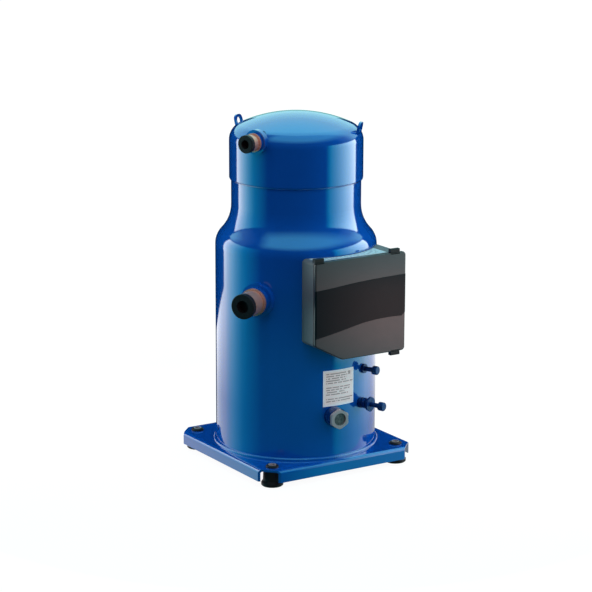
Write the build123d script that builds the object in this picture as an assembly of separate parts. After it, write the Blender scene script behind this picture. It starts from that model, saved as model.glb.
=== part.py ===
"""Hermetic scroll compressor: welded shell, scroll set, motor, terminal box, stubs and feet.

Millimetres, +Z up. The origin is on the shell's axis, in the plane that the four feet rest on.
The sides of the base plate lie along X and Y, and the terminal box faces -Y.
"""
import os
from math import asin, atan, atan2, cos, radians, sin, sqrt, tan

from build123d import *

# ---- driving dimensions: shell -------------------------------------------------------------
plate_top = 29.0            # top face of the base plate above the floor
shell_r = 127.0             # lower shell, 10 inch tube
shell_wall = 3.6
upper_r = 101.8             # upper shell, 8 inch tube
neck_start = 347.6          # where the lower cylinder starts to close in
neck_height = 63.3
neck_shoulder_r = 32.0      # convex radius at the shoulder
cap_wall = 3.0
cap_r = upper_r + cap_wall  # the cap slips over the upper shell
cap_lip = 453.4             # lower edge of the cap
cap_knuckle_z = 511.7       # where the cap's straight side ends
cap_knuckle_r = 27.2
cap_crown_r = 216.65
shell_end = cap_lip + 14.0  # top edge of the shell, inside the cap
dish_wall = 3.5
dish_knuckle_z = 50.4
dish_knuckle_r = 18.0
dish_crown_r = 300.0
dish_skirt_top = 62.0

# ---- base plate and feet ---------------------------------------------------------------------
plate_half = 141.1
plate_wall = 3.0
flange_depth = 19.2
plate_bend_r = 6.0
plate_window_r = 100.0
foot_pitch = 230.0
foot_hole_r = 8.5
foot_height = plate_top - plate_wall
foot_r = 17.2
foot_top_r = 13.85
foot_button_r = 9.9
foot_button_height = 3.4
sleeve_r = 6.0
bolt_hole_r = 4.4           # clears an M8 bolt

# ---- stubs: (azimuth, height) and radial stations from the shell's axis ------------------------
suction_az, suction_z = -149.0, 282.0
suction_socket_r = 17.5     # takes 1 3/8 inch tube
suction_wall = 1.5
suction_stop, suction_seat, suction_mouth = 131.0, 160.0, 171.0
suction_inner_end = 108.0
suction_collar = (112.0, 143.0)
suction_foot_end = 134.5
suction_bead = (143.0, 147.5)
suction_plug_length = 9.0
discharge_az, discharge_z = -157.5, 521.7
discharge_socket_r = 11.15  # takes 7/8 inch tube
discharge_wall = 1.8
discharge_stop, discharge_seat, discharge_mouth = 98.5, 118.5, 126.5
discharge_inner_end = 92.0
discharge_collar = (95.0, 112.0)
discharge_foot = (100.0, 109.0)
discharge_bead = (112.0, 115.2)
discharge_groove = (116.0, 117.4)
discharge_plug_length = 7.5

# ---- sight glass and service ports: each part is (start, end, radius) along its own axis -------
glass_az, glass_z = -95.0, 97.3
glass_spigot = (117.0, 143.5, 13.9)
glass_boss = (118.0, 143.5, 15.6)
glass_nut = (143.5, 150.0, 16.4)
glass_lens = (138.0, 147.5, 10.0)
gauge_az, gauge_z = -66.5, 162.5
gauge_spigot = (119.0, 131.5, 4.4)
gauge_boss = (120.0, 131.0, 7.4)
gauge_neck = (131.0, 150.6, 3.7)
gauge_core_body = (138.0, 143.5, 2.5)
gauge_core_pin = (143.5, 150.0, 0.9)
gauge_cap = (145.5, 154.5, 6.9)
drain_az, drain_z = -69.5, 109.0
drain_spigot = (119.0, 132.0, 4.9)
drain_boss = (120.0, 131.5, 8.6)
drain_collar = (131.0, 145.0, 5.6)
drain_nut = (134.5, 139.5, 9.2)
drain_flange = (144.5, 147.5, 12.6)
drain_neck = (147.0, 168.4, 3.7)
drain_cap = (163.0, 172.5, 6.9)
port_bore_r = 2.6
port_cap_wall = 3.5

# ---- terminal box -------------------------------------------------------------------------------
box_left, box_right = -60.0, 101.0
cover_right = 106.0
box_low, box_high = 192.0, 349.5
chamfer_x, chamfer_z = -10.0, 219.0
box_front = -150.0
cover_depth = 5.0
seam = 1.2
box_wall = 3.0
box_edge_r = 6.0
terminal_z = 270.0
cup_front, cup_back, cup_r, cup_wall = -130.0, -123.4, 24.0, 3.0
cup_floor = -124.6
block_front, block_back, block_r = -136.5, -130.2, 26.0
pin_circle_r, pin_r, bead_r = 9.0, 2.0, 4.6

# ---- lifting lugs ---------------------------------------------------------------------------------
lug_azimuths = (121.0, -48.0)
lug_width, lug_height, lug_wall = 22.0, 17.0, 3.5
lug_seat_r = 100.0
lug_lean = 13.0

# ---- scroll set: walls are half circles about two centres, one pitch step apart ---------------
scroll_step = 11.0          # each half turn adds this to the wall's radius
scroll_wall = 4.0
scroll_first_r = 11.0
scroll_arcs = 6
flank_gap = 0.15
tip_gap = 0.3
orbit_r = scroll_step - scroll_wall - flank_gap
plate_under = 420.1         # underside of the orbiting scroll's plate
plate_over = 430.0
fixed_under = 456.0         # underside of the fixed scroll's plate
fixed_over = 468.0
orbit_plate_r = 76.0
fixed_recess_r = 82.0
housing_r = 98.1

# ---- scroll housing and Oldham coupling ---------------------------------------------------------
seat_r = 51.5               # the coupling's ring passes round this seat
thrust_inner_r = 37.0
coupling_outer_r, coupling_inner_r = 73.0, 60.0
coupling_low, coupling_high = 406.0, 414.0
key_half, key_reach, key_r = 4.0, 6.0, 66.0
bolt_r, bolt_circle = 4.0, 91.0

# ---- motor and shaft ------------------------------------------------------------------------------
stator_low, stator_high = 130.0, 250.0
stator_r = 123.3
stator_flat = 117.0
stator_bore_r = 60.0
air_gap = 0.5
slot_count = 24
shaft_r = 19.0
lower_journal_r = 13.0
upper_journal_r = 22.0
crank_pin_r = 14.0
bearing_gap = 0.05

STAND = (Align.CENTER, Align.CENTER, Align.MIN)


# ---- helpers ------------------------------------------------------------------------------------
def disc(radius, low, high):
    """Upright cylinder about the shell's axis."""
    return Pos(0, 0, low) * Cylinder(radius, high - low, align=STAND)


def ring(outer, inner, low, high):
    """Upright tube about the shell's axis."""
    return disc(outer, low, high) - disc(inner, low - 1, high + 1)


def spun(*points):
    """Solid of revolution from (radius, height) corners."""
    outline = Polyline(*points, close=True)
    return revolve(Plane.XZ * make_face(outline), Axis.Z)


def outward(azimuth, height):
    """Plane on the shell's axis whose normal points out at this azimuth."""
    turn = radians(azimuth)
    return Plane(origin=(0, 0, height), x_dir=(-sin(turn), cos(turn), 0), z_dir=(cos(turn), sin(turn), 0))


def rod(azimuth, height, start, end, radius):
    """Cylinder along a radius of the shell, from one distance to another."""
    return outward(azimuth, height) * Pos(0, 0, start) * Cylinder(radius, end - start, align=STAND)


def hexagon(azimuth, height, start, end, corner_r):
    """Hexagonal bar along a radius of the shell, with a corner at the top."""
    outline = RegularPolygon(corner_r, 6, rotation=30)
    bar = extrude(outward(azimuth, height) * Pos(0, 0, start) * outline, end - start)
    return bar & outward(azimuth, height) * Pos(0, 0, start) * rounded_rod(end - start, corner_r * 0.97, 1.2)


def rounded_rod(length, radius, edge):
    """Cylinder on the local axis with both end edges rounded."""
    body = Cylinder(radius, length, align=STAND)
    return fillet(body.edges().filter_by(GeomType.CIRCLE), edge)


def dome(radius, knuckle_z, knuckle, crown, inset, skirt_z, upwards=True):
    """Filled pressure-vessel end: skirt, knuckle and crown, each taken in by inset."""
    sign = 1 if upwards else -1
    drop = sqrt((crown - knuckle) ** 2 - (radius - knuckle) ** 2)
    crown_z = knuckle_z - sign * drop
    lean = atan2(drop, radius - knuckle)
    side = radius - inset
    small = knuckle - inset
    large = crown - inset
    join = (radius - knuckle + small * cos(lean), knuckle_z + sign * small * sin(lean))
    middle = (radius - knuckle + small * cos(lean / 2), knuckle_z + sign * small * sin(lean / 2))
    apex = (0, crown_z + sign * large)
    half = asin(join[0] / large) / 2
    crest = (large * sin(half), crown_z + sign * large * cos(half))
    edges = [
        Line((0, skirt_z), (side, skirt_z)),
        Line((side, skirt_z), (side, knuckle_z)),
        ThreePointArc((side, knuckle_z), middle, join),
        ThreePointArc(join, crest, apex),
        Line(apex, (0, skirt_z)),
    ]
    return revolve(Plane.XZ * make_face(Curve() + edges), Axis.Z)


def shell_form(inset, low, high):
    """Filled body of the shell: lower cylinder, S-shaped neck and upper cylinder."""
    drop = shell_r - upper_r
    turn = 2 * atan(drop / neck_height)
    hollow_r = neck_height / sin(turn) - neck_shoulder_r
    neck_end = neck_start + neck_height
    side = shell_r - inset
    top_side = upper_r - inset
    convex = neck_shoulder_r - inset
    concave = hollow_r + inset
    shoulder = (shell_r - neck_shoulder_r, neck_start)
    throat = (upper_r + hollow_r, neck_end)
    middle = (shoulder[0] + convex * cos(turn), shoulder[1] + convex * sin(turn))
    first = (shoulder[0] + convex * cos(turn / 2), shoulder[1] + convex * sin(turn / 2))
    second = (throat[0] - concave * cos(turn / 2), throat[1] - concave * sin(turn / 2))
    edges = [
        Line((0, low), (side, low)),
        Line((side, low), (side, neck_start)),
        ThreePointArc((side, neck_start), first, middle),
        ThreePointArc(middle, second, (top_side, neck_end)),
        Line((top_side, neck_end), (top_side, high)),
        Line((top_side, high), (0, high)),
        Line((0, high), (0, low)),
    ]
    return revolve(Plane.XZ * make_face(Curve() + edges), Axis.Z)


def box_outline(inset, right):
    """Face-on outline of the terminal box, with the lower left corner cut off."""
    left = box_left + inset
    low = box_low + inset
    slope = atan2(chamfer_z - box_low, chamfer_x - box_left)
    shift = inset / cos(slope)
    foot_x = chamfer_x + (shift - inset) / tan(slope)
    side_z = chamfer_z + shift - inset * tan(slope)
    corners = [
        (left, box_high - inset),
        (right - inset, box_high - inset),
        (right - inset, low),
        (foot_x, low),
        (left, side_z),
    ]
    face = make_face(Polyline(*corners, close=True))
    return fillet(face.vertices(), max(box_edge_r - inset, 1.0))


def box_block(inset, right, near, far):
    """The outline run from y = near (most negative) to y = far."""
    return extrude(Plane.XZ.offset(-near) * box_outline(inset, right), near - far)


def save(name, shape):
    """Label a node and write its STEP file."""
    parts[name] = shape
    shape.label = name
    export_step(shape, "parts/" + name + ".step")


def group(pieces):
    """One node from several separate solids."""
    return Compound(children=[piece.solid() for piece in pieces])


parts = {}
os.makedirs("parts", exist_ok=True)

shell_outer = shell_form(0, plate_top, shell_end)
cap_outer = dome(cap_r, cap_knuckle_z, cap_knuckle_r, cap_crown_r, 0, cap_lip)

# ---- shell, end pieces and welds -------------------------------------------------------------
suction_hole_r = suction_socket_r + suction_wall + 3.0
shell_body = shell_outer - shell_form(shell_wall, plate_top - 1, shell_end + 1)
shell_body -= rod(suction_az, suction_z, 100, 140, suction_hole_r)
shell_body -= rod(glass_az, glass_z, 100, 140, 14.0)
shell_body -= rod(gauge_az, gauge_z, 100, 140, 4.5)
shell_body -= rod(drain_az, drain_z, 100, 140, 5.0)
shell_body -= rod(-90, terminal_z, 100, 140, 24.0)
save("shell_body", shell_body)

bottom_form = dome(shell_r - shell_wall - 0.1, dish_knuckle_z, dish_knuckle_r, dish_crown_r, 0,
                   dish_skirt_top, upwards=False)
bottom_hollow = dome(shell_r - shell_wall - 0.1, dish_knuckle_z, dish_knuckle_r, dish_crown_r,
                     dish_wall, dish_skirt_top + 1, upwards=False)
save("bottom_cap", bottom_form - bottom_hollow)

discharge_hole_r = discharge_socket_r + discharge_wall + 2.0
top_cap = cap_outer - dome(cap_r, cap_knuckle_z, cap_knuckle_r, cap_crown_r, cap_wall, cap_lip - 1)
top_cap -= rod(discharge_az, discharge_z, 80, 120, discharge_hole_r)
save("top_cap", top_cap)

weld_leg = 4.5
lip_weld = spun((upper_r, cap_lip - 3.2), (cap_r - 0.4, cap_lip), (upper_r, cap_lip))
foot_weld = spun((shell_r, plate_top), (shell_r + weld_leg, plate_top), (shell_r, plate_top + weld_leg))
save("weld_beads", group([lip_weld, foot_weld]))


def knuckle_height(radius):
    """Height of the cap's knuckle surface at this radius."""
    return cap_knuckle_z + sqrt(cap_knuckle_r ** 2 - (radius - cap_r + cap_knuckle_r) ** 2)


def lug(azimuth):
    """Eye plate that leans outward from the cap's shoulder."""
    turn, lean = radians(azimuth), radians(lug_lean)
    seat_z = knuckle_height(lug_seat_r)
    out = Vector(cos(turn), sin(turn), 0)
    up = out * sin(lean) + Vector(0, 0, cos(lean))
    face = out * cos(lean) - Vector(0, 0, sin(lean))
    seat = Plane(origin=out * lug_seat_r + Vector(0, 0, seat_z), x_dir=up.cross(face), z_dir=face)
    root = 9.0
    body = Pos(0, (lug_height - root) / 2) * Rectangle(lug_width, lug_height + root)
    tips = body.vertices().sort_by(Axis.Y)[-2:]
    outline = fillet(tips, 8.5) - Pos(0, lug_height - 10.0) * Ellipse(7.2, 6.4)
    plate = extrude(seat * outline, lug_wall / 2, both=True)
    return (plate - cap_outer).solids().sort_by(SortBy.VOLUME)[-1]


save("lifting_lugs", group([lug(azimuth) for azimuth in lug_azimuths]))

# ---- base plate, grommets and sleeves -----------------------------------------------------------
foot_places = [(sx * foot_pitch / 2, sy * foot_pitch / 2) for sx in (-1, 1) for sy in (-1, 1)]


def pressed_tray(half, top, bend):
    """Upside-down tray block with its upper long edges rounded."""
    block = Pos(0, 0, top) * Box(2 * half, 2 * half, top, align=(Align.CENTER, Align.CENTER, Align.MAX))
    upper = block.edges().filter_by(GeomType.LINE).group_by(Axis.Z)[-1]
    return fillet(upper, bend)


tray = pressed_tray(plate_half, plate_top, plate_bend_r)
tray -= pressed_tray(plate_half - plate_wall, plate_top - plate_wall, plate_bend_r - plate_wall)
tray -= Box(4 * plate_half, 4 * plate_half, 2 * (plate_top - flange_depth))
corner_reach = plate_half + foot_pitch / 2
corner_cut = Rot(0, 0, 45) * Box(corner_reach * sqrt(2), corner_reach * sqrt(2), 4 * plate_top)
tray &= corner_cut
tray -= disc(plate_window_r, -1, plate_top + 1)
for x, y in foot_places:
    tray -= Pos(x, y, 0) * disc(foot_hole_r, -1, plate_top + 1)
save("base_plate", tray)


def grommet(x, y):
    """Rubber foot that grips the plate's edge between its body and its top button."""
    neck = foot_hole_r - 0.1
    top = plate_top + foot_button_height
    profile = spun((sleeve_r, 0), (foot_r - 1.5, 0), (foot_r, 1.5), (foot_r, 5.0), (foot_top_r + 0.8, 9.0),
                   (foot_top_r, foot_height), (neck, foot_height), (neck, plate_top),
                   (foot_button_r, plate_top), (foot_button_r, top - 1.5), (foot_button_r - 1.5, top),
                   (sleeve_r, top))
    return Pos(x, y, 0) * profile


def sleeve(x, y):
    """Steel sleeve through a foot, for its bolt."""
    return Pos(x, y, 0) * ring(sleeve_r, bolt_hole_r, 0, plate_top + foot_button_height + 0.8)


save("mounting_grommets", group([grommet(x, y) for x, y in foot_places]))
save("mounting_sleeves", group([sleeve(x, y) for x, y in foot_places]))

# ---- suction stub ----------------------------------------------------------------------------------
suction_r = suction_socket_r + suction_wall
collar = rod(suction_az, suction_z, *suction_collar, suction_r + 3.0)
collar += rod(suction_az, suction_z, 120, suction_foot_end, suction_r + 7.5) - disc(shell_r, 200, 400)
collar -= rod(suction_az, suction_z, 100, 150, suction_r)
save("suction_fitting", collar)
stub = rod(suction_az, suction_z, suction_inner_end, suction_mouth, suction_r)
stub += rod(suction_az, suction_z, *suction_bead, suction_r + 2.2)
stub -= rod(suction_az, suction_z, 100, suction_stop, suction_socket_r - 2.5)
stub -= rod(suction_az, suction_z, suction_stop, suction_mouth + 1, suction_socket_r)
stub -= rod(suction_az, suction_z, suction_seat, suction_mouth + 1, suction_socket_r + 0.5)
save("suction_stub", stub)


def plug(azimuth, height, seat, mouth, inside_r, flange_r, thick):
    """Rubber shipping plug: spigot in the tube's mouth, hollow flange in front."""
    body = rod(azimuth, height, seat + 0.3, mouth, inside_r)
    head = outward(azimuth, height) * Pos(0, 0, mouth) * rounded_rod(thick, flange_r, 1.2)
    return body + head - rod(azimuth, height, mouth - 2, mouth + thick + 1, flange_r * 0.5)


save("suction_plug", plug(suction_az, suction_z, suction_seat, suction_mouth, suction_socket_r + 0.4,
                          suction_r + 0.4, suction_plug_length))

# ---- discharge stub --------------------------------------------------------------------------------
discharge_r = discharge_socket_r + discharge_wall
collar = rod(discharge_az, discharge_z, *discharge_collar, discharge_r + 2.0)
collar += rod(discharge_az, discharge_z, *discharge_foot, discharge_r + 6.0) - cap_outer
collar -= rod(discharge_az, discharge_z, 90, 115, discharge_r)
save("discharge_fitting", collar)
stub = rod(discharge_az, discharge_z, discharge_inner_end, discharge_mouth, discharge_r)
stub += rod(discharge_az, discharge_z, *discharge_bead, discharge_r + 1.5)
groove = rod(discharge_az, discharge_z, *discharge_groove, discharge_r + 5)
stub -= groove - rod(discharge_az, discharge_z, 110, 120, discharge_r - 0.5)
stub -= rod(discharge_az, discharge_z, 90, discharge_stop, discharge_socket_r - 2.0)
stub -= rod(discharge_az, discharge_z, discharge_stop, discharge_mouth + 1, discharge_socket_r)
stub -= rod(discharge_az, discharge_z, discharge_seat, discharge_mouth + 1, discharge_socket_r + 0.4)
save("discharge_stub", stub)
save("discharge_plug", plug(discharge_az, discharge_z, discharge_seat, discharge_mouth,
                            discharge_socket_r + 0.3, discharge_r + 0.9, discharge_plug_length))

# ---- sight glass -----------------------------------------------------------------------------------
glass_bore = rod(glass_az, glass_z, 110, 160, glass_lens[2])
fitting = rod(glass_az, glass_z, *glass_spigot)
fitting += rod(glass_az, glass_z, *glass_boss) - disc(shell_r, 0, 200)
save("sight_glass_fitting", fitting - glass_bore)
save("sight_glass_nut", hexagon(glass_az, glass_z, *glass_nut) - glass_bore)
save("sight_glass_lens", rod(glass_az, glass_z, *glass_lens))

# ---- gauge port: fitting, spring-loaded core and flare cap ---------------------------------------
fitting = rod(gauge_az, gauge_z, *gauge_spigot)
fitting += rod(gauge_az, gauge_z, *gauge_boss) - disc(shell_r, 0, 200)
fitting += rod(gauge_az, gauge_z, *gauge_neck)
fitting -= rod(gauge_az, gauge_z, 110, 160, port_bore_r)
save("gauge_port_fitting", fitting)
core = rod(gauge_az, gauge_z, *gauge_core_body) + rod(gauge_az, gauge_z, *gauge_core_pin)
save("gauge_port_core", core)


def flare_cap(azimuth, height, neck_r, start, end, radius):
    """Cap with a hexagonal grip and a blind hole for the port's neck."""
    cap = outward(azimuth, height) * Pos(0, 0, start) * rounded_rod(end - start, radius, 1.6)
    cap &= hexagon(azimuth, height, start - 3, end + 3, radius * 1.12)
    return cap - rod(azimuth, height, start - 1, end - port_cap_wall, neck_r + 0.05)


save("gauge_port_cap", flare_cap(gauge_az, gauge_z, gauge_neck[2], *gauge_cap))

# ---- drain port: fitting with nut and flange, and its flare cap ----------------------------------
fitting = rod(drain_az, drain_z, *drain_spigot)
fitting += rod(drain_az, drain_z, *drain_boss) - disc(shell_r, 0, 200)
fitting += rod(drain_az, drain_z, *drain_collar)
fitting += hexagon(drain_az, drain_z, *drain_nut)
fitting += hexagon(drain_az, drain_z, *drain_flange)
fitting += rod(drain_az, drain_z, *drain_neck)
fitting -= rod(drain_az, drain_z, 110, 175, port_bore_r)
save("drain_port_fitting", fitting)
save("drain_port_cap", flare_cap(drain_az, drain_z, drain_neck[2], *drain_cap))

# ---- terminal box: tray, cover, wave panel, clips, gasket, label ----------------------------------
rim = box_front + cover_depth + seam
tray = box_block(0, box_right, rim, -60) - disc(shell_r + 0.2, 0, 500)
tray -= box_block(box_wall, box_right, rim - 1, -60) - disc(shell_r + 0.2 + box_wall, 0, 500)
tray -= Pos(0, -132, terminal_z) * Rot(90, 0, 0) * Cylinder(30, 30)
earth_x, earth_z = -42.0, 300.0
tray += (Pos(earth_x, -133, earth_z) * Rot(-90, 0, 0) * Cylinder(6, 20, align=STAND)
         - disc(shell_r + 1.0, 0, 500))
stud_places = [(-28, 328), (28, 212)]
stud_r = 3.0


def forward_rod(x, z, near, far, radius):
    """Cylinder along Y from y = near (most negative) to y = far."""
    return Pos(x, near, z) * Rot(-90, 0, 0) * Cylinder(radius, far - near, align=STAND)


for x, z in stud_places:
    tray -= forward_rod(x, z, -135, -110, stud_r + 0.3)
tray -= forward_rod(earth_x, earth_z, -134, -126, 2.0)
entries = [(36, -134.0, 5.5), (72, -126.0, 11.0)]
for x, y, r in entries:
    tray -= Pos(x, y, box_low + box_wall / 2) * Cylinder(r, 2 * box_wall)
save("terminal_box_base", tray)

plugs = [Pos(x, y, box_low - 1.5) * (Cylinder(r + 1.8, 1.5, align=STAND) + Cylinder(r, 6.0, align=STAND))
         for x, y, r in entries]
save("cable_entry_plugs", group(plugs))

cover_low = box_front + cover_depth
cover_edge_r = 1.8


def cover_block(front):
    """Outside of the cover with its front edges rounded."""
    block = box_block(0, cover_right, front, cover_low)
    return fillet(block.edges().group_by(Axis.Y)[0], cover_edge_r)


clip_width = 16.5
clip_places = {"clip_top_left": (-53.0, 1), "clip_top_right": (86.0, 1), "clip_bottom": (88.0, -1)}
clip_pin_y = box_front + 1.4
finger_low, finger_high, finger_reach = 0.2, 5.8, 7.0
notch_depth = 2.6
cover_form = cover_block(box_front)
cover = cover_form - box_block(box_wall, cover_right, box_front + 2.4, cover_low + 1)
for x, side in clip_places.values():
    edge = box_high if side > 0 else box_low
    cover -= Pos(x, box_front, edge) * Box(clip_width + 0.6, 6.0, 2 * notch_depth)
save("terminal_box_cover", cover)


def clip(x, side):
    """Snap clip: barrel in a notch of the cover's edge, with a finger that reaches over the tray."""
    edge = box_high if side > 0 else box_low
    barrel = Pos(x, clip_pin_y, edge - side * 1.2) * Rot(0, 90, 0) * Cylinder(1.2, clip_width)
    web = Pos(x, clip_pin_y, edge - side * 0.4) * Box(clip_width, 1.6, 1.6)
    finger_z = edge + side * (finger_low + finger_high) / 2
    finger = Pos(x, box_front + finger_reach / 2, finger_z) * Box(
        clip_width, finger_reach, finger_high - finger_low)
    finger = fillet(finger.edges().filter_by(Axis.X), 0.8)
    return barrel + web + finger


for name, (x, side) in clip_places.items():
    save(name, clip(x, side))

gasket_in = 0.8
gasket = box_block(gasket_in, box_right, cover_low, rim)
gasket -= box_block(gasket_in + 1.8, box_right, cover_low - 1, rim + 1)
save("box_gasket", gasket)

# The glossy wave panel lies on the cover's front and follows its rounded side edges.
panel_proud = 0.6
panel_left, panel_right = box_left - 4.0, cover_right + 4.0
panel_corner = (panel_right, 257.0)
upper_wave = [(panel_left, 305.3), (-22.3, 307.8), (14.2, 310.8), (51.1, 312.6), (panel_right, 314.0)]
lower_wave = [(98.5, 248.2), (67.5, 248.9), (24.2, 245.4), (-3.4, 240.2), (-33.8, 234.8), (panel_left, 230.3)]
wave_face = make_face(Curve() + [
    Spline(*upper_wave),
    Line(upper_wave[-1], panel_corner),
    Line(panel_corner, lower_wave[0]),
    Spline(*lower_wave),
    Line(lower_wave[-1], upper_wave[0]),
])
cover_panel = cover_block(box_front - panel_proud) - cover_form
cover_panel &= extrude(Plane.XZ.offset(-cover_low) * wave_face, 20)
save("cover_panel", cover_panel.solids().sort_by(SortBy.VOLUME)[-1])

studs = [forward_rod(x, z, -139, -110, stud_r) - disc(shell_r, 0, 500) for x, z in stud_places]
studs = [stud.solids().sort_by(Axis.Y)[0] for stud in studs]
nuts = []
for x, z in stud_places:
    nut = extrude(Plane.XZ.offset(136.0) * Pos(x, z) * RegularPolygon(6.0, 6), -3.0)
    nuts.append(nut - forward_rod(x, z, -140, -120, stud_r))
save("box_fasteners", group(studs + nuts))
screw = forward_rod(earth_x, earth_z, -133, -127, 2.0) + forward_rod(earth_x, earth_z, -136, -133, 4.5)
save("earth_screw", screw)

pin_places = [(pin_circle_r * sin(radians(turn)), terminal_z + pin_circle_r * cos(radians(turn)))
              for turn in (0, 120, 240)]
cup = forward_rod(0, terminal_z, cup_front, cup_back, cup_r)
cup -= forward_rod(0, terminal_z, cup_floor, -110, cup_r - cup_wall)
block = forward_rod(0, terminal_z, block_front, block_back, block_r)
beads = []
nuts = []
for x, z in pin_places:
    pin_hole = forward_rod(x, z, -150, -100, pin_r)
    cup -= forward_rod(x, z, -140, -100, bead_r)
    block -= forward_rod(x, z, -140, -120, pin_r + 0.4)
    beads.append(forward_rod(x, z, cup_front, cup_floor, bead_r) - pin_hole)
    nut = extrude(Plane.XZ.offset(140.0) * Pos(x, z) * RegularPolygon(4.6, 6), -3.4)
    nuts.append(nut - pin_hole)
save("terminal_feedthrough", group([cup] + beads))
save("terminal_pins", group([forward_rod(x, z, -143, -112, pin_r) for x, z in pin_places]))
save("terminal_block", block)
save("terminal_nuts", group(nuts))

module = Pos(73, -132.6, 268) * Box(44, 17, 92)
module = fillet(module.edges().filter_by(Axis.Y), 4)
module += Pos(73, -119, 236) * Box(12, 12, 10) + Pos(73, -119, 300) * Box(12, 12, 10)
save("protector_module", module - disc(shell_r + 0.2 + box_wall, 0, 500))

label_wall = 0.4
label_left, label_right, label_front, label_rear = -52.0, 75.0, -142.6, -108.0
top_label = Pos((label_left + label_right) / 2, (label_front + label_rear) / 2, box_high) * Box(
    label_right - label_left, label_rear - label_front, label_wall, align=STAND)
top_label &= ring(400, shell_r + 3, 300, 400)
save("wiring_label", top_label)


def wrapped(azimuth_low, azimuth_high, low, high, thick):
    """Thin sheet that lies round the lower shell between two azimuths."""
    band = ring(shell_r + thick, shell_r, low, high)
    wedge = [(0, 0)]
    steps = 4
    for step in range(steps + 1):
        turn = radians(azimuth_low + (azimuth_high - azimuth_low) * step / steps)
        wedge.append((200 * cos(turn), 200 * sin(turn)))
    face = make_face(Polyline(*wedge, close=True))
    return (band & extrude(Pos(0, 0, low - 1) * face, high - low + 2)).solid()


save("nameplate", wrapped(-102.9, -77.6, 113.2, 170.3, label_wall))

# ---- motor ------------------------------------------------------------------------------------------
stator = disc(stator_r, stator_low, stator_high)
flats = extrude(Pos(0, 0, stator_low - 1) * RegularPolygon(stator_flat, 6, major_radius=False, rotation=30),
                stator_high - stator_low + 2)
stator &= flats
stator -= disc(stator_bore_r, stator_low - 1, stator_high + 1)
slot_in, slot_out, slot_half = 66.0, 94.0, 4.0
slot_long = slot_out - slot_in
for index in range(slot_count):
    turn = Rot(0, 0, 360 / slot_count * index)
    stator -= turn * Pos((slot_in + slot_out) / 2, 0, stator_low - 1) * Box(
        slot_long, 2 * slot_half, stator_high - stator_low + 2, align=STAND)
save("motor_stator", stator)

winding_gap = 0.2
end_turn = 28.0
coil_low = ring(slot_out + 4, slot_in, stator_low - end_turn + 4, stator_low - 1.0)
coil_high = ring(slot_out + 4, slot_in, stator_high + 1.0, stator_high + end_turn)
coil_low = fillet(coil_low.edges().filter_by(GeomType.CIRCLE), 6)
coil_high = fillet(coil_high.edges().filter_by(GeomType.CIRCLE), 6)
winding = coil_low + coil_high
for index in range(slot_count):
    turn = Rot(0, 0, 360 / slot_count * index)
    winding += turn * Pos((slot_in + slot_out) / 2, 0, stator_low - 4) * Box(
        slot_long - 2 * winding_gap, 2 * (slot_half - winding_gap), stator_high - stator_low + 8,
        align=STAND)
save("motor_windings", winding)

lead_from = slot_out + 4
leads = [forward_rod(x, z, -112, -80, 2.6) - disc(lead_from, 0, 400) for x, z in pin_places]
save("motor_leads", group([lead.solids().sort_by(Axis.Y)[0] for lead in leads]))

rotor_r = stator_bore_r - air_gap
save("rotor_core", ring(rotor_r, shaft_r, stator_low, stator_high))
save("rotor_end_rings", group([ring(rotor_r - 1.5, 40, stator_low - 9, stator_low),
                               ring(rotor_r - 1.5, 40, stator_high, stator_high + 9)]))

crank_seat = 398.0
pin_low, pin_high = crank_seat, plate_under - 1.6
shaft = disc(lower_journal_r, 76, 112) + disc(shaft_r, 112, 330) + disc(upper_journal_r, 326, crank_seat)
shaft += Pos(0, orbit_r, 0) * disc(crank_pin_r, pin_low, pin_high)
shaft -= disc(3.0, 70, 300)
save("crankshaft", shaft)


def weight(low, high, side):
    """Half-moon balance weight clamped round the shaft."""
    block = ring(48, shaft_r, low, high)
    keep = Pos(0, side * 40, (low + high) / 2) * Box(120, 80, high - low)
    return (block & keep).solid()


save("counterweights", group([weight(stator_high + 10, stator_high + 34, -1),
                              weight(stator_low - 20, stator_low - 10, 1)]))
save("oil_pickup", ring(8.0, 3.0, 46, 76))

# ---- bearings and main housing -----------------------------------------------------------------
bush_wall = 3.0
housing = spun((upper_journal_r + bush_wall, 336), (38, 336), (40, 366), (62, 388), (90, 394),
               (housing_r, 414), (housing_r, plate_over), (84, plate_over), (84, 405.5), (seat_r, 405.5),
               (seat_r, 418), (36, 418), (36, crank_seat), (upper_journal_r + bush_wall, crank_seat))
key_run = orbit_r + 0.4
for side in (-1, 1):
    housing -= Pos(side * key_r, 0, 399.0) * Box(2 * (key_reach + key_run), 2 * key_half + 0.1, 10,
                                                 align=STAND)
bolt_turns = [30 + 60 * index for index in range(6)]
bolt_spots = [(bolt_circle * cos(radians(t)), bolt_circle * sin(radians(t))) for t in bolt_turns]
for x, y in bolt_spots:
    housing -= Pos(x, y, 0) * disc(bolt_r, 412, 440)
for turn in (0, 60, 120, 180, 240, 300):
    housing -= Rot(0, 0, turn) * Pos(housing_r, 0, 395) * Box(9, 26, 50, align=STAND)
save("main_bearing_housing", housing)
save("thrust_plate", ring(seat_r - 1.5, thrust_inner_r, 418, plate_under - 0.1))

bracket_low, bracket_high = 84.0, 100.0
bracket = ring(24, lower_journal_r + bush_wall, bracket_low - 4, bracket_high + 6)
inner_r = shell_r - shell_wall - 0.1
for turn in (0, 120, 240):
    arm = Rot(0, 0, turn) * Pos(20, 0, bracket_low) * Box(inner_r - 10, 24, bracket_high - bracket_low,
                                                          align=(Align.MIN, Align.CENTER, Align.MIN))
    bracket += arm & ring(inner_r, 20, bracket_low, bracket_high)
save("lower_bearing_bracket", bracket)
bushes = [ring(lower_journal_r + bush_wall, lower_journal_r + bearing_gap, bracket_low - 4, bracket_high + 6),
          ring(upper_journal_r + bush_wall, upper_journal_r + bearing_gap, 336, crank_seat)]
save("crankshaft_bushes", group(bushes))

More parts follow.
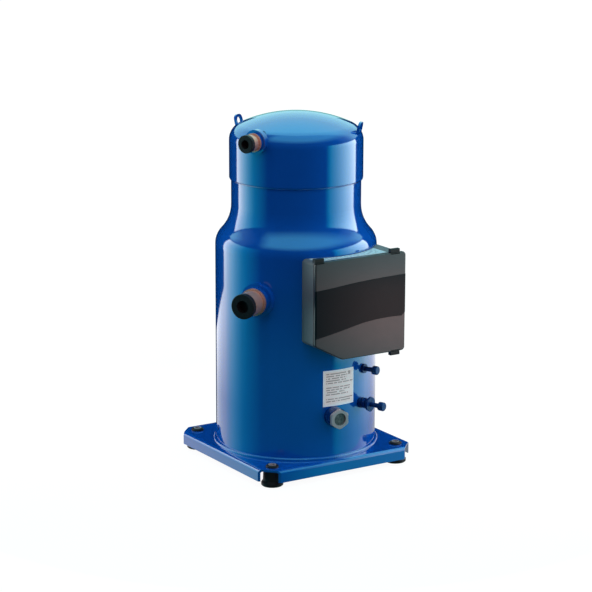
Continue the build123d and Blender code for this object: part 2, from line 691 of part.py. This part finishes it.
# ---- scroll set -------------------------------------------------------------------------------------
def spiral(low, high, turn):
    """Scroll wall between two heights, built from half circles about two centres."""
    half_step = scroll_step / 2
    wall = None
    for index in range(scroll_arcs):
        side = 1 if index % 2 == 0 else -1
        mid_r = scroll_first_r + index * scroll_step
        arc = ring(mid_r + scroll_wall / 2, mid_r - scroll_wall / 2, low, high)
        keep = Pos(0, side * 100, (low + high) / 2) * Box(400, 200, high - low)
        piece = Pos(side * half_step, 0, 0) * (arc & keep)
        wall = piece if wall is None else wall + piece
    last = scroll_first_r + (scroll_arcs - 1) * scroll_step
    for x in (half_step - scroll_first_r, -half_step - last):
        wall += Pos(x, 0, 0) * disc(scroll_wall / 2, low, high)
    return Rot(0, 0, turn) * wall


pin_bush_r = crank_pin_r + 4.0
orbiting = disc(orbit_plate_r, plate_under, plate_over)
orbiting += ring(24.0, pin_bush_r, 400, plate_under)
for side in (-1, 1):
    orbiting -= Pos(0, side * key_r, plate_under - 1) * Box(
        2 * (key_half + orbit_r + 0.2), 2 * (key_reach + key_run), 6.0, align=STAND)
orbiting += spiral(plate_over, fixed_under - tip_gap, 180)
save("orbiting_scroll", Pos(0, orbit_r, 0) * orbiting)
save("drive_bearing_bush", Pos(0, orbit_r, 0) * ring(pin_bush_r, crank_pin_r + bearing_gap, 400,
                                                     plate_under - 1.2))

oldham = ring(coupling_outer_r, coupling_inner_r, coupling_low, coupling_high)
for side in (-1, 1):
    oldham += Pos(side * key_r, 0, 399.6) * Box(2 * key_reach, 2 * key_half, 8, align=STAND)
    oldham += Pos(0, side * key_r, 413) * Box(2 * key_half, 2 * key_reach, 10.6, align=STAND)
save("oldham_ring", oldham)

fixed = disc(housing_r - 0.1, plate_over, fixed_over) - disc(fixed_recess_r, plate_over - 1, fixed_under)
fixed += spiral(plate_over + tip_gap, fixed_under, 0)
fixed += ring(24.0, 20.0, fixed_over, fixed_over + 14)
fixed -= disc(3.4, fixed_under, fixed_over + 1)
fixed -= Rot(0, 0, -150) * Pos(70, 0, 436) * Box(40, 34, 14, align=(Align.MIN, Align.CENTER, Align.MIN))
for x, y in bolt_spots:
    fixed -= Pos(x, y, 0) * disc(bolt_r + 0.3, 425, 475)
save("fixed_scroll", fixed)

head_high = fixed_over + 6.0
bolts = [Pos(x, y, 0) * (disc(bolt_r, 414, fixed_over) + disc(6.2, fixed_over, head_high))
         for x, y in bolt_spots]
save("scroll_bolts", group(bolts))

valve_lift = 3.0
save("check_valve_disc", disc(11.0, fixed_over + 0.05, fixed_over + 2.05))
guard_top = fixed_over + 2.05 + valve_lift + 0.1
guard = ring(18.0, 13.0, fixed_over, guard_top) + ring(18.0, 5.0, guard_top, guard_top + 2.5)
for turn in (0, 60, 120):
    guard -= Rot(0, 0, turn) * Pos(0, 0, fixed_over + 1.2) * Box(50, 8, guard_top - fixed_over - 1.2,
                                                                 align=STAND)
save("valve_guard", guard)

rim_top = 480.0
separator = ring(cap_r - cap_wall - 0.1, 26.0, rim_top - 3, rim_top)
separator += ring(cap_r - cap_wall - 0.1, cap_r - cap_wall - 3.1, shell_end + 0.1, rim_top)
save("separator_plate", separator)
save("separator_seal", ring(26.0, 24.0, rim_top - 4, rim_top + 1))

print(len(parts), "nodes, orbit radius", round(orbit_r, 3))
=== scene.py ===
"""Looks for the scroll compressor: enamel shell, terminal box, stubs, ports, labels and inner parts."""

import math

import bpy
from mathutils import Matrix, Vector


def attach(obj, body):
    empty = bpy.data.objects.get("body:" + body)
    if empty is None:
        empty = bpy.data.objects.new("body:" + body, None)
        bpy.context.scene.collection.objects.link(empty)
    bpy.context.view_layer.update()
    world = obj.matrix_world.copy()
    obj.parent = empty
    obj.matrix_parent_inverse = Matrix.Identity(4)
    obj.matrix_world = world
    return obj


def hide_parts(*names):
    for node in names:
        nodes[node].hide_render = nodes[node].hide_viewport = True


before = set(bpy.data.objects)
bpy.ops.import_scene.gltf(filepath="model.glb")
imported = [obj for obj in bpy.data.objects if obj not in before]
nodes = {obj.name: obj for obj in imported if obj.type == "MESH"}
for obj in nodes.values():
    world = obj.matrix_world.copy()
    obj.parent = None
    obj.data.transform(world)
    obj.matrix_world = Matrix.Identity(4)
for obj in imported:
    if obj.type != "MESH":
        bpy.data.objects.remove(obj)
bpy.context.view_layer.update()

MM = 0.001
DEGREES = 180 / math.pi
STUDIO_TURN = math.radians(-32.4)   # the lights are set out around this azimuth

plate_left, plate_right = -102.9, -77.6          # rating plate, degrees round the shell
plate_top, plate_bottom = 0.1703, 0.1132         # and metres up it
film_left, film_right = -0.052, 0.075            # wiring label on the box's top, along X
film_back, film_front = -0.108, -0.1426          # and along Y
plate_painted_glow = 0.26                                # painted light: the plate glows to match the rating plate's brightness in the photo
floor_glow = 0.955


# ---- node helpers -------------------------------------------------------------------------------
class Tree:
    """Short calls for building one material's node tree."""

    def __init__(self, name):
        self.material = bpy.data.materials.new(name)
        self.material.use_nodes = True
        self.tree = self.material.node_tree
        self.tree.nodes.clear()
        self.out = self.tree.nodes.new("ShaderNodeOutputMaterial")
        self.shader = self.tree.nodes.new("ShaderNodeBsdfPrincipled")
        self.link(self.shader.outputs[0], self.out.inputs[0])
        self.place = self.tree.nodes.new("ShaderNodeTexCoord").outputs["Object"]

    def link(self, source, target):
        self.tree.links.new(source, target)

    def put(self, socket, value):
        """A number or colour is set, and another node's output is linked."""
        if isinstance(value, bpy.types.NodeSocket):
            self.link(value, socket)
        elif isinstance(value, (tuple, list)) and len(value) == 3 and socket.type == "RGBA":
            socket.default_value = (*value, 1.0)
        else:
            socket.default_value = value

    def set(self, **values):
        for key, value in values.items():
            self.put(self.shader.inputs[key.replace("_", " ").title().replace("Ior", "IOR")], value)

    def math(self, kind, a, b=0.0):
        node = self.tree.nodes.new("ShaderNodeMath")
        node.operation = kind
        self.put(node.inputs[0], a)
        self.put(node.inputs[1], b)
        return node.outputs[0]

    def noise(self, scale, detail=2.0, rough=0.5, stretch=None):
        node = self.tree.nodes.new("ShaderNodeTexNoise")
        node.inputs["Scale"].default_value = scale
        node.inputs["Detail"].default_value = detail
        node.inputs["Roughness"].default_value = rough
        source = self.place
        if stretch:
            mapping = self.tree.nodes.new("ShaderNodeMapping")
            mapping.inputs["Scale"].default_value = stretch
            self.link(source, mapping.inputs["Vector"])
            source = mapping.outputs[0]
        self.link(source, node.inputs["Vector"])
        return node.outputs[0]

    def fold(self, kind, *values):
        """Joins two or more values with one kind of arithmetic."""
        result = values[0]
        for value in values[1:]:
            result = self.math(kind, result, value)
        return result

    def product(self, *values):
        return self.fold("MULTIPLY", *values)

    def ramp(self, value, low, high, start=0.0, end=1.0):
        """Maps value from [start, end] to [low, high], which are numbers."""
        node = self.tree.nodes.new("ShaderNodeMapRange")
        node.inputs["From Min"].default_value = start
        node.inputs["From Max"].default_value = end
        node.inputs["To Min"].default_value = low
        node.inputs["To Max"].default_value = high
        self.put(node.inputs["Value"], value)
        return node.outputs[0]

    def mix(self, factor, a, b):
        node = self.tree.nodes.new("ShaderNodeMix")
        node.data_type = "RGBA"
        self.put(node.inputs["Factor"], factor)
        self.put(node.inputs[6], a)
        self.put(node.inputs[7], b)
        return node.outputs[2]

    def bump(self, height, depth, strength=1.0, before=None):
        node = self.tree.nodes.new("ShaderNodeBump")
        node.inputs["Strength"].default_value = strength
        node.inputs["Distance"].default_value = depth
        self.link(height, node.inputs["Height"])
        if before:
            self.link(before, node.inputs["Normal"])
        return node.outputs[0]

    def split(self, vector=None):
        node = self.tree.nodes.new("ShaderNodeSeparateXYZ")
        self.link(vector or self.place, node.inputs[0])
        return node.outputs


# ---- materials ----------------------------------------------------------------------------------
def enamel(name, base=(0.004, 0.105, 0.53), deep=(0.003, 0.095, 0.49)):
    """Deep blue enamel: a hard gloss with a blue sheen under a thin clear coat."""
    t = Tree(name)
    patch = t.noise(7.0, 3.0)
    t.set(base_color=t.mix(t.ramp(patch, 0.0, 1.0, 0.35, 0.65), base, deep))
    t.set(roughness=t.ramp(t.noise(60.0, 3.0), 0.09, 0.13), ior=1.6, specular_tint=(0.1, 0.7, 1.0))
    t.set(coat_weight=1.0, coat_roughness=0.04, coat_ior=1.9)
    peel = t.bump(t.noise(420.0, 2.0, 0.45), 0.00002, 0.5)
    wave = t.bump(t.noise(26.0, 1.0), 0.00025, 0.3, peel)
    t.set(normal=wave, coat_normal=wave)
    return t.material


def shaded_fitting_paint(name):
    """The same enamel, thinner and duller on the small fittings; its much darker blue is painted shade."""
    t = Tree(name)
    patch = t.noise(160.0, 4.0, 0.7)
    # painted shade: these blues are far darker than the shell's enamel
    t.set(base_color=t.mix(t.ramp(patch, 0.0, 1.0, 0.35, 0.7),
                           (0.002, 0.022, 0.13), (0.004, 0.045, 0.22)))
    t.set(roughness=t.ramp(patch, 0.2, 0.34), ior=1.5, specular_tint=(0.5, 0.8, 1.0))
    t.set(normal=t.bump(patch, 0.0002, 0.6))
    return t.material


def plastic(name, base, other, rough, grain=0.00004, ior=1.5):
    """Moulded plastic with a fine spark-eroded grain."""
    t = Tree(name)
    t.set(ior=ior, specular_tint=(1.0, 0.66, 0.64))
    t.set(base_color=t.mix(t.ramp(t.noise(14.0, 4.0), 0.0, 1.0, 0.3, 0.7), base, other))
    t.set(roughness=t.ramp(t.noise(90.0, 3.0), rough - 0.04, rough + 0.05))
    if grain:
        t.set(normal=t.bump(t.noise(1500.0, 2.0, 0.6), grain, 0.6))
    return t.material


def rubber(name, base=(0.01, 0.008, 0.009)):
    t = Tree(name)
    dust = t.ramp(t.noise(35.0, 4.0, 0.6), 0.0, 1.0, 0.45, 0.8)
    t.set(base_color=t.mix(dust, base, tuple(2.2 * c for c in base)))
    t.set(roughness=t.ramp(t.noise(200.0, 3.0), 0.38, 0.55), specular_tint=(1.0, 0.6, 0.62))
    t.set(normal=t.bump(t.noise(900.0, 2.0), 0.00004, 0.4))
    return t.material


def metal(name, base, other, rough=0.3, spread=0.08, stretch=(1, 1, 1), scale=120.0, depth=0.00002,
          metallic=1.0):
    """Bare metal with fine tool marks; stretch sets which way they run."""
    t = Tree(name)
    t.set(metallic=metallic)
    t.set(base_color=t.mix(t.ramp(t.noise(18.0, 4.0), 0.0, 1.0, 0.35, 0.7), base, other))
    marks = t.noise(scale, 3.0, 0.6, stretch=stretch)
    t.set(roughness=t.ramp(marks, rough - spread, rough + spread))
    t.set(normal=t.bump(marks, depth, 0.5))
    return t.material


def laminated(name, base, other):
    """Stacked electrical steel: thin bands up the height."""
    t = Tree(name)
    t.set(metallic=1.0)
    wave = t.tree.nodes.new("ShaderNodeTexWave")
    wave.bands_direction = "Z"
    wave.inputs["Scale"].default_value = 320.0
    wave.inputs["Distortion"].default_value = 0.4
    t.link(t.place, wave.inputs["Vector"])
    t.set(base_color=t.mix(wave.outputs[1], base, other), roughness=t.ramp(t.noise(50.0), 0.38, 0.55))
    t.set(normal=t.bump(wave.outputs[1], 0.0001, 0.6))
    return t.material


def wire(name):
    """Varnished magnet wire, wound round the axis."""
    t = Tree(name)
    strands = t.noise(60.0, 4.0, 0.7, stretch=(1.5, 1.5, 26.0))
    t.set(base_color=t.mix(strands, (0.36, 0.12, 0.03), (0.75, 0.33, 0.1)), metallic=0.55)
    t.set(roughness=0.32, coat_weight=0.7, coat_roughness=0.2, normal=t.bump(strands, 0.0006, 0.8))
    return t.material


def copper(name):
    t = Tree(name)
    t.set(metallic=0.5)
    stain = t.ramp(t.noise(38.0, 2.0, 0.5), 0.0, 1.0, 0.45, 0.8)
    t.set(base_color=t.mix(stain, (1.0, 0.46, 0.35), (0.9, 0.38, 0.27)))
    t.set(roughness=t.ramp(t.noise(90.0, 2.0), 0.2, 0.3))
    return t.material


def glass(name):
    """Thick sight glass over an oil-dark, mottled well."""
    t = Tree(name)
    mottle = t.ramp(t.noise(260.0, 4.0, 0.7), 0.0, 1.0, 0.35, 0.7)
    t.set(base_color=t.mix(mottle, (0.05, 0.05, 0.05), (0.22, 0.21, 0.2)))
    t.set(roughness=0.35, coat_weight=1.0, coat_roughness=0.02, normal=t.bump(mottle, 0.0003, 0.5))
    return t.material


class Print(Tree):
    """Marks on a label: each returns 1 where there is ink."""

    def chance(self, across, down):
        """A steady number from 0 to 1 for each cell."""
        cell = self.tree.nodes.new("ShaderNodeCombineXYZ")
        self.put(cell.inputs[0], self.math("FLOOR", across))
        self.put(cell.inputs[1], self.math("FLOOR", down))
        pick = self.tree.nodes.new("ShaderNodeTexWhiteNoise")
        self.link(cell.outputs[0], pick.inputs["Vector"])
        return pick.outputs["Value"]

    def between(self, value, low, high):
        return self.math("MULTIPLY", self.math("GREATER_THAN", value, low),
                         self.math("LESS_THAN", value, high))

    def any(self, *values):
        return self.fold("MAXIMUM", *values)

    def text_rows(self, u, v, rows, words, blank_rows):
        """Broken bars that stand for rows of print; u and v run from 0 to 1, v downwards."""
        line = self.math("MULTIPLY", v, float(rows))
        kept = self.between(self.math("FRACT", line), 0.22, 0.72)
        for row in blank_rows:
            kept = self.product(kept, self.math("SUBTRACT", 1.0, self.between(line, float(row), row + 1.0)))
        word = self.math("MULTIPLY", u, float(words))
        inked = self.math("GREATER_THAN", self.chance(word, line), 0.16)
        reach = self.ramp(self.chance(0.0, line), 0.7, 1.05)
        inside = self.product(self.between(v, 0.0, 1.0), self.math("GREATER_THAN", u, 0.0),
                              self.math("LESS_THAN", u, reach))
        return self.product(kept, inked, inside)


def rating_plate(name):
    """Paper rating plate wrapped round the shell: grey rows of print inside a bright border; the plate also
    gives off painted light.
    """
    t = Print(name)
    x, y, z = t.split()
    around = t.math("MULTIPLY", t.math("ARCTAN2", y, x), DEGREES)
    u = t.ramp(around, 0.0, 1.0, plate_left, plate_right)
    v = t.ramp(z, 0.0, 1.0, plate_top, plate_bottom)
    face = t.product(t.between(u, 0.035, 0.965), t.between(v, 0.04, 0.955))
    ink = t.text_rows(t.ramp(u, 0.0, 1.0, 0.09, 0.9), t.ramp(v, 0.0, 1.0, 0.07, 0.9), 13, 34, (5, 10))
    emblem = t.product(t.between(u, 0.8, 0.88), t.between(v, 0.075, 0.17))
    mottle = t.ramp(t.noise(700.0, 3.0), 0.0, 1.0, 0.35, 0.65)
    paper = t.mix(mottle, (0.98, 0.83, 0.82), (0.9, 0.77, 0.76))
    inked = t.mix(t.math("MULTIPLY", t.any(ink, emblem), 0.72), paper, (0.16, 0.15, 0.15))
    surface = t.mix(face, (0.86, 0.9, 0.98), inked)
    # painted light: the plate's colour is also given off as a glow, warmed a little
    t.set(base_color=surface, emission_color=t.mix(0.25, surface, (0.5, 0.1, 0.12)),
          emission_strength=plate_painted_glow)
    t.set(roughness=t.ramp(mottle, 0.3, 0.42), coat_weight=0.3, coat_roughness=0.15)
    return t.material


def wiring_print(name):
    """White film on the box's top with a generic line diagram."""
    t = Print(name)
    x, y, _ = t.split()
    u = t.ramp(x, 0.0, 1.0, film_left, film_right)
    v = t.ramp(y, 0.0, 1.0, film_back, film_front)
    column, row = t.math("MULTIPLY", u, 19.0), t.math("MULTIPLY", v, 7.0)
    pick = t.chance(column, row)
    across, down = t.math("FRACT", column), t.math("FRACT", row)
    level = t.product(t.between(down, 0.4, 0.62), t.math("GREATER_THAN", pick, 0.45))
    upright = t.product(t.between(across, 0.42, 0.58), t.between(pick, 0.3, 0.62))
    mark = t.product(t.between(across, 0.25, 0.75), t.between(down, 0.2, 0.8),
                     t.math("GREATER_THAN", pick, 0.9))
    inside = t.product(t.between(u, 0.05, 0.96), t.between(v, 0.06, 0.94))
    ink = t.product(inside, t.any(level, upright, mark))
    paper = t.mix(t.ramp(t.noise(300.0), 0.0, 1.0, 0.35, 0.65), (0.86, 0.87, 0.9), (0.8, 0.82, 0.86))
    t.set(base_color=t.mix(t.math("MULTIPLY", ink, 0.85), paper, (0.05, 0.055, 0.09)), roughness=0.35)
    return t.material


paint = enamel("shell_paint")
finishes = {
    "shell_paint": paint,
    "zinc_steel": metal("zinc_steel", (0.7, 0.52, 0.53), (0.58, 0.43, 0.45), 0.45, metallic=0.5),
    "bare_steel": metal("bare_steel", (0.56, 0.56, 0.57), (0.48, 0.48, 0.5), 0.25, scale=200.0,
                        stretch=(1, 1, 14)),
    "electrical_steel": laminated("electrical_steel", (0.32, 0.33, 0.35), (0.5, 0.5, 0.52)),
    "cast_iron": metal("cast_iron", (0.25, 0.25, 0.26), (0.33, 0.33, 0.34), 0.5, 0.08, scale=300.0,
                       depth=0.00012),
    "copper": copper("copper"),
    "winding_copper": wire("winding_copper"),
    "aluminium": metal("aluminium", (0.8, 0.81, 0.83), (0.7, 0.71, 0.73), 0.42, scale=160.0,
                       depth=0.00008),
    "bronze": metal("bronze", (0.7, 0.48, 0.22), (0.6, 0.38, 0.17), 0.3, stretch=(1, 1, 12)),
    "black_rubber": rubber("black_rubber"),
    "box_plastic": plastic("box_plastic", (0.05, 0.046, 0.049), (0.056, 0.052, 0.055), 0.24, ior=1.75),
    "tray_plastic": plastic("tray_plastic", (0.15, 0.14, 0.15), (0.17, 0.16, 0.17), 0.42, ior=1.8),
    "panel_plastic": plastic("panel_plastic", (0.003, 0.009, 0.012), (0.004, 0.0115, 0.015), 0.14,
                             grain=0, ior=1.3),
    "terminal_plastic": plastic("terminal_plastic", (0.006, 0.006, 0.007), (0.009, 0.009, 0.01), 0.4),
    "seal_plastic": plastic("seal_plastic", (0.75, 0.72, 0.65), (0.68, 0.65, 0.58), 0.5),
    "glass": glass("glass"),
    "label": rating_plate("label"),
}
special = {"wiring_label": wiring_print("wiring_film")}
# painted shade: the fittings get a darker copy of the enamel
dull_and_shaded_paint = shaded_fitting_paint("shaded_fitting_paint")
for name in ("sight_glass_fitting", "gauge_port_fitting", "gauge_port_cap", "drain_port_fitting",
             "drain_port_cap"):
    special[name] = dull_and_shaded_paint
for name, node in nodes.items():
    current = node.data.materials[0].name.split(".")[0]
    node.data.materials[0] = special.get(name, finishes[current])


# ---- meshes made here: plain sheets and the rippled weld beads --------------------------------------
def grid_object(name, columns, rows, point):
    """Mesh sheet with one vertex at point(column, row)."""
    verts = [point(c, r) for r in range(rows + 1) for c in range(columns + 1)]
    wide = columns + 1
    faces = [(r * wide + c, r * wide + c + 1, (r + 1) * wide + c + 1, (r + 1) * wide + c)
             for r in range(rows) for c in range(columns)]
    mesh = bpy.data.meshes.new(name)
    mesh.from_pydata(verts, [], faces)
    obj = bpy.data.objects.new(name, mesh)
    bpy.context.scene.collection.objects.link(obj)
    return obj


def bead(radius, height, half_width, low_turn, high_turn, ripples, depth):
    """Vertices and faces of a rippled weld bead round the shell."""
    around, across = ripples * 4, 8
    verts, faces = [], []
    for i in range(around):
        turn = 2 * math.pi * i / around
        swell = depth * (math.cos(ripples * turn) + 0.5 * math.sin(7 * turn)
                         + 0.4 * math.sin(23 * turn + 1.0))
        for j in range(across + 1):
            lean = low_turn + (high_turn - low_turn) * j / across
            size = half_width + swell * math.sin(math.pi * j / across)
            r = radius + size * math.cos(lean)
            verts.append((r * math.cos(turn), r * math.sin(turn), height + size * math.sin(lean)))
    for i in range(around):
        for j in range(across):
            a, b = i * (across + 1) + j, ((i + 1) % around) * (across + 1) + j
            faces.append((a, b, b + 1, a + 1))
    return verts, faces


foot = bead(radius=127.2 * MM, height=29.2 * MM, half_width=4.1 * MM, low_turn=math.radians(-5),
            high_turn=math.radians(96), ripples=210, depth=0.22 * MM)
lip = bead(radius=101.9 * MM, height=453.2 * MM, half_width=2.6 * MM, low_turn=math.radians(-88),
           high_turn=math.radians(-8), ripples=190, depth=0.14 * MM)
verts = foot[0] + lip[0]
faces = foot[1] + [tuple(len(foot[0]) + k for k in face) for face in lip[1]]
mesh = bpy.data.meshes.new("rippled_welds")
mesh.from_pydata(verts, [], faces)
mesh.shade_smooth()
welds = bpy.data.objects.new("rippled_welds", mesh)
bpy.context.scene.collection.objects.link(welds)
welds.data.materials.append(paint)
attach(welds, "compressor_body")
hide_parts("weld_beads")


# ---- studio: floor, side panels, fills and sky ------------------------------------------------------
reach = 40.0
floor = grid_object("floor", 1, 1, lambda c, r: ((2 * c - 1) * reach, (2 * r - 1) * reach, 0.0))
t = Tree("floor_white")
t.set(base_color=t.mix(t.noise(3.0), (0.12, 0.1, 0.1), (0.13, 0.11, 0.11)), roughness=0.9,
      specular_ior_level=0.0)
t.set(emission_color=(1.0, 1.0, 1.0), emission_strength=floor_glow)
floor.data.materials.append(t.material)
floor.visible_glossy = False
floor.visible_diffuse = False
floor.visible_shadow = False


class Sky(Tree):
    """The same short calls, for a tree that gives off light."""

    def __init__(self, tree, output, source="Object"):
        self.tree = tree
        self.tree.nodes.clear()
        self.out = tree.nodes.new(output)
        self.place = tree.nodes.new("ShaderNodeTexCoord").outputs[source]

    def around(self):
        """Degrees round the object from the front of the studio, + to its right; height or direction up."""
        spin = self.tree.nodes.new("ShaderNodeVectorRotate")
        spin.rotation_type = "Z_AXIS"
        spin.inputs["Angle"].default_value = -STUDIO_TURN
        self.link(self.place, spin.inputs["Vector"])
        x, y, z = self.split(spin.outputs[0])
        turned = self.math("ARCTAN2", x, self.math("MULTIPLY", y, -1.0))
        return self.math("MULTIPLY", turned, DEGREES), z

    def window(self, value, start, full, full_end, end):
        """1 from full to full_end, falling to 0 at start and end."""
        return self.math("MULTIPLY", self.ramp(value, 0.0, 1.0, start, full),
                         self.ramp(value, 1.0, 0.0, full_end, end))

    def sum(self, *values):
        return self.fold("ADD", *values)


panel_r = 0.62
panel_low, panel_high = -0.40, 0.64
panel_end = 168.0                    # degrees round from the front
brightest, upper_edge = 111.0, 115.0 # degrees where the white is full, and where the light ends above
panel_edge_soft = 1.5


def side_panel(name, side, teal, white, start, bend, low, flare, middle=0.0):
    """Curved soft box beside the object: a teal shoulder that turns white towards its far edge.

    teal is (strength, then the four angles of its window). start and bend shape the white's rise.
    low is (share, from height, to height) for the dimmer foot, which also carries a faint teal glow in
    front. flare is (edge, from height, to height): the light ends at edge below the first height and at
    upper_edge above the second. middle adds white to the band that only the terminal box mirrors."""
    columns = 30

    def point(c, r):
        turned = math.radians(side * panel_end * c / columns) + STUDIO_TURN
        return (panel_r * math.sin(turned), -panel_r * math.cos(turned),
                panel_low + (panel_high - panel_low) * r)

    panel = grid_object(name, columns, 1, point)
    material = bpy.data.materials.new(name)
    material.use_nodes = True
    g = Sky(material.node_tree, "ShaderNodeOutputMaterial")
    turned, high = g.around()
    off = g.math("ABSOLUTE", turned)
    share = g.ramp(high, low[0], 1.0, low[1], low[2])
    rise = g.product(g.math("POWER", g.ramp(off, 0.0, 1.0, start, brightest), bend), share, white)
    band = g.window(high, 0.04, 0.09, 0.19, 0.24)
    extra = g.product(band, g.ramp(off, 0.0, middle, 50.0, 64.0), g.ramp(off, 1.0, 0.0, 66.0, 80.0))
    shoulder = g.product(g.window(off, *teal[1:]), g.math("POWER", share, 0.4),
                         g.ramp(band, 1.0, 0.0 if middle else 1.0), teal[0])
    foot = g.product(g.ramp(off, 1.0, 0.0, 50.0, 75.0), g.ramp(high, 1.0, 0.0, 0.06, 0.24), 0.13)
    edge = g.ramp(high, flare[0], upper_edge, flare[1], flare[2])
    end = g.ramp(g.math("SUBTRACT", edge, off), 0.0, 1.0, 0.0, panel_edge_soft)
    kept = g.product(end, g.ramp(high, 1.0, 0.0, 0.60, 0.63))
    white_glow = g.tree.nodes.new("ShaderNodeEmission")
    g.link(g.product(g.sum(rise, extra), kept), white_glow.inputs["Strength"])
    teal_glow = g.tree.nodes.new("ShaderNodeEmission")
    teal_glow.inputs["Color"].default_value = (0.03, 0.9, 1.0, 1.0)
    g.link(g.product(g.sum(shoulder, foot), kept), teal_glow.inputs["Strength"])
    both = g.tree.nodes.new("ShaderNodeAddShader")
    g.link(white_glow.outputs[0], both.inputs[0])
    g.link(teal_glow.outputs[0], both.inputs[1])
    g.link(both.outputs[0], g.out.inputs[0])
    panel.data.materials.append(material)
    panel.visible_camera = False
    panel.visible_shadow = False


side_panel("left_soft_box", -1, (0.9, 46.0, 80.0, 92.0, 112.0), 2.6, 70.0, 1.8, (0.3, -0.05, 0.3),
           (150.0, 0.06, 0.16))
side_panel("right_soft_box", 1, (1.0, 48.0, 56.0, 90.0, 130.0), 3.5, 54.0, 1.2, (0.12, -0.1, 0.55),
           (168.0, 0.04, 0.14), 1.5)


def fill(name, azimuth, elevation, strength, spread, colour):
    """Soft fill that lights without showing in the gloss."""
    light = bpy.data.lights.new(name, "SUN")
    light.energy = strength
    light.angle = math.radians(spread)
    light.color = colour
    lamp = bpy.data.objects.new(name, light)
    lamp.rotation_euler = (math.radians(90 - elevation), 0.0, STUDIO_TURN + math.radians(azimuth))
    lamp.visible_glossy = False
    bpy.context.scene.collection.objects.link(lamp)


fill("front_fill", 20.0, 25.0, 1.25, 90.0, (1.0, 0.66, 0.68))
fill("left_fill", -80.0, 22.0, 0.7, 60.0, (1.0, 0.7, 0.72))

world = bpy.data.worlds.new("studio")
bpy.context.scene.world = world
world.use_nodes = True
s = Sky(world.node_tree, "ShaderNodeOutputWorld", "Generated")
turned, rising = s.around()
height = s.math("MULTIPLY", s.math("ARCSINE", rising), DEGREES)
off = s.math("ABSOLUTE", turned)
behind = s.ramp(off, 0.0, 1.0, 80.0, 125.0)
back_wall = s.product(behind, s.window(height, 2.0, 8.0, 30.0, 56.0))
beside = s.math("MULTIPLY", s.window(turned, -150.0, -110.0, -90.0, -55.0), 26.0)
top_light = s.window(s.math("SUBTRACT", height, beside), 32.0, 54.0, 95.0, 96.0)
haze = s.ramp(off, 0.0, 1.0, 106.0, 122.0)


def glow(strength, colour):
    """One part of the sky."""
    node = s.tree.nodes.new("ShaderNodeBackground")
    node.inputs["Color"].default_value = (*colour, 1.0)
    s.put(node.inputs["Strength"], strength)
    return node.outputs[0]


sky = glow(s.sum(back_wall, 0.012), (0.33, 0.56, 0.62))
for strength, colour in ((top_light, (0.24, 0.92, 1.05)), (haze, (0.2, 0.5, 0.45))):
    both = s.tree.nodes.new("ShaderNodeAddShader")
    s.link(sky, both.inputs[0])
    s.link(glow(strength, colour), both.inputs[1])
    sky = both.outputs[0]
s.link(sky, s.out.inputs[0])
world.cycles.sampling_method = "MANUAL"
world.cycles.sample_map_resolution = 1024

# ---- camera -----------------------------------------------------------------------------------------
azimuth, elevation, roll = math.radians(-32.40), math.radians(13.471), math.radians(0.157)
distance, target_z, shift_right = 3.54384, 0.260997, 0.00027
back = Vector((math.sin(azimuth) * math.cos(elevation), -math.cos(azimuth) * math.cos(elevation),
               math.sin(elevation)))
right = Vector((math.cos(azimuth), math.sin(azimuth), 0.0))
up = back.cross(right)
camera_right = right * math.cos(roll) + up * math.sin(roll)
camera_up = up * math.cos(roll) - right * math.sin(roll)
place = Vector((0, 0, target_z)) + back * distance + right * shift_right
camera_data = bpy.data.cameras.new("camera")
camera_data.lens = 136.25
camera_data.sensor_width = 36.0
camera_data.clip_end = 200.0
camera = bpy.data.objects.new("camera", camera_data)
axes = Matrix((camera_right, camera_up, back)).transposed().to_4x4()
camera.matrix_world = Matrix.Translation(place) @ axes
bpy.context.scene.collection.objects.link(camera)
bpy.context.scene.camera = camera
bpy.context.scene.view_settings.view_transform = "Standard"
